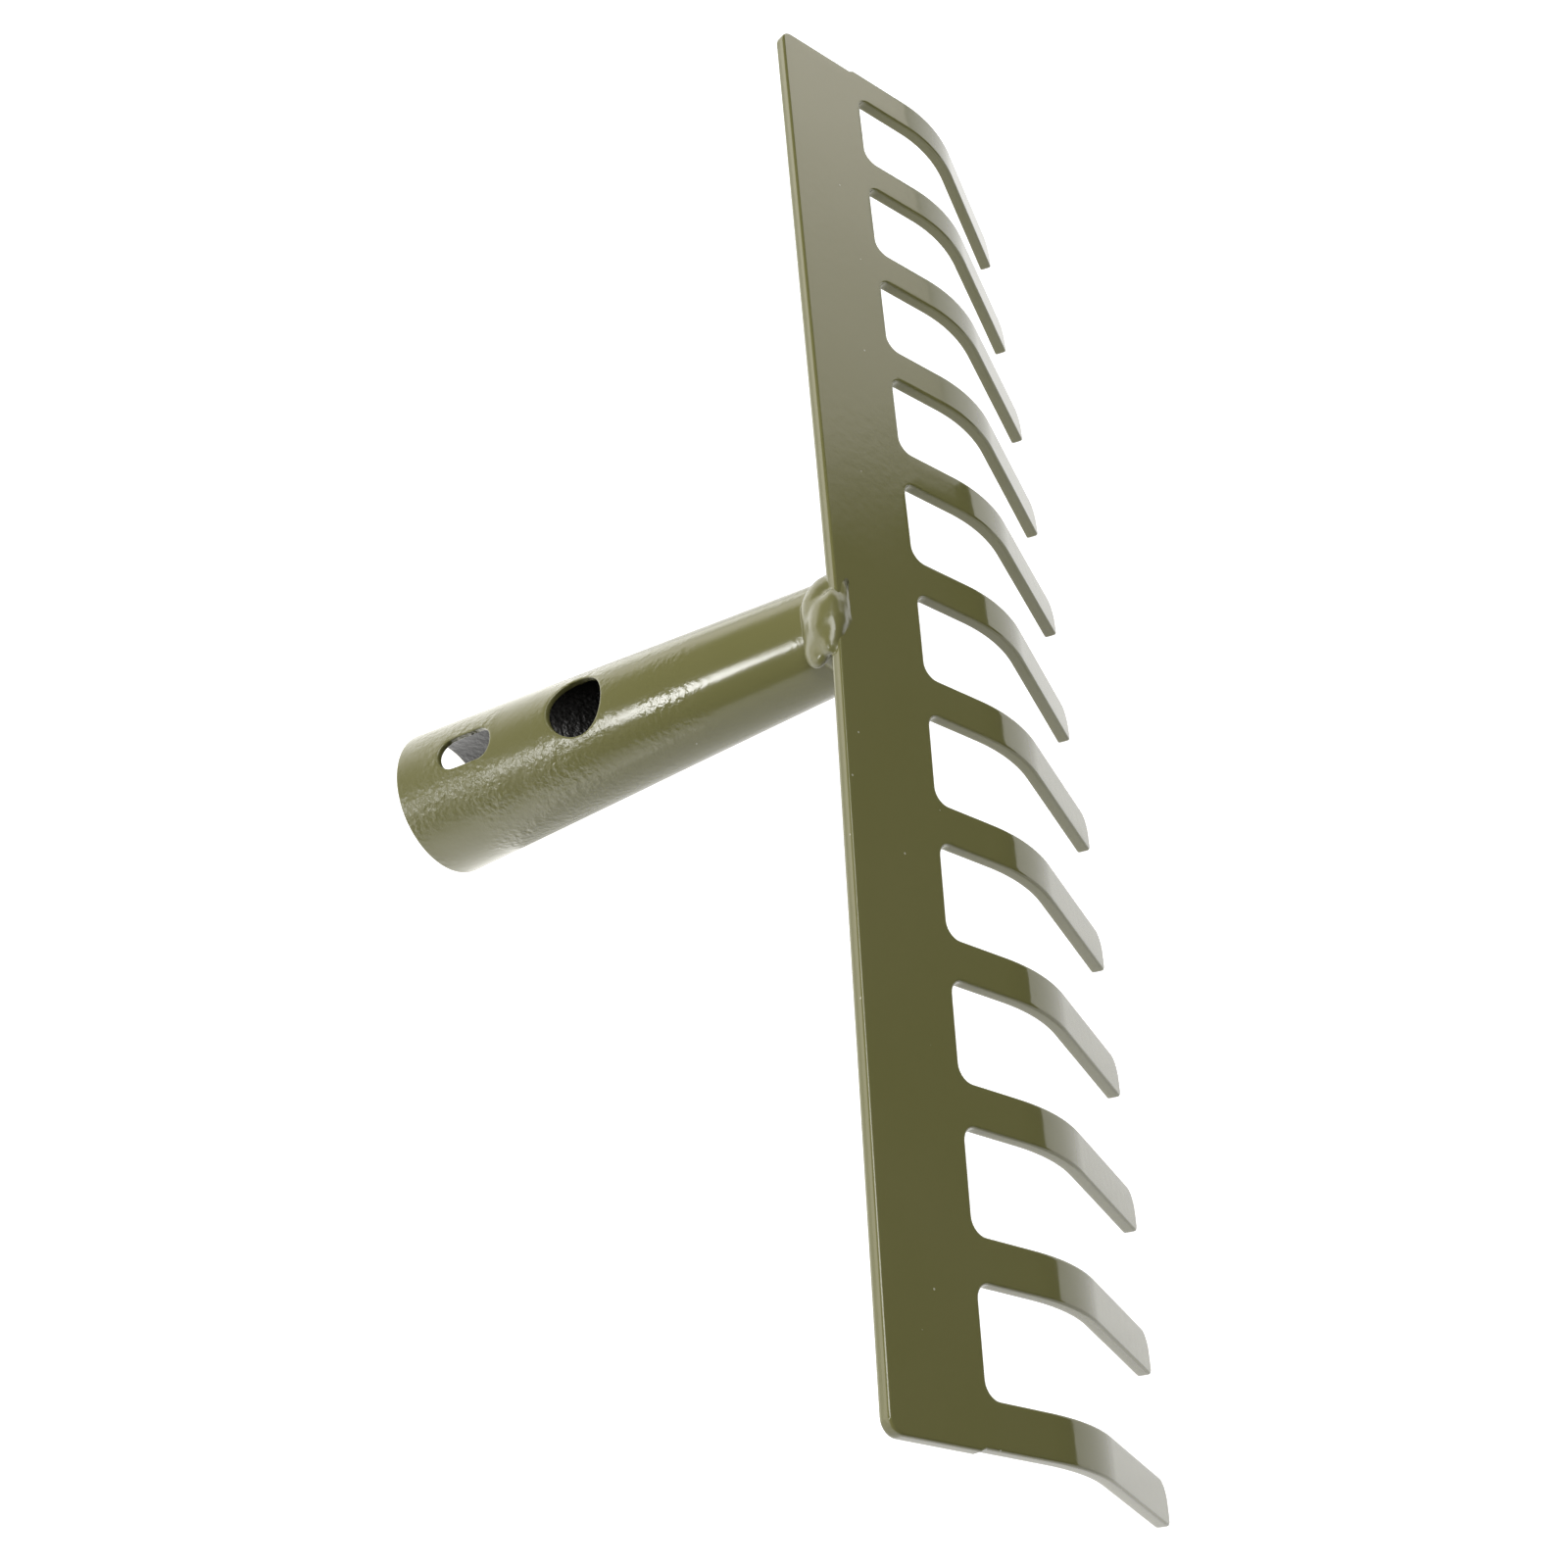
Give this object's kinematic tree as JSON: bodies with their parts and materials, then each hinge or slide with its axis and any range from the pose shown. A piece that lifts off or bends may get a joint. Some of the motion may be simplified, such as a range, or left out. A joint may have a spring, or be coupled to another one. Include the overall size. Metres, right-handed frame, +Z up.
{
  "type": "garden rake head",
  "caption": "Straight stamped-steel garden rake head with bent teeth and a tapered tube socket welded under the middle of the bar for a handle.",
  "frame": {"origin": "centre of the socket's mouth, on the plane of its rim", "axes": "+X along the bar, to the right when the teeth point away; +Y from the socket towards the teeth; +Z up, with the head lying on its outer tooth tips and on the rim of its socket"},
  "size_m": [0.3055, 0.1389, 0.0791],
  "materials": {
    "olive_paint": "gloss"
  },
  "bodies": {
    "root": {"rake_blade": "olive_paint", "handle_socket": "olive_paint", "weld_bead_back": "olive_paint", "weld_bead_front": "olive_paint", "weld_lap_top": "olive_paint"}
  },
  "joints": []
}
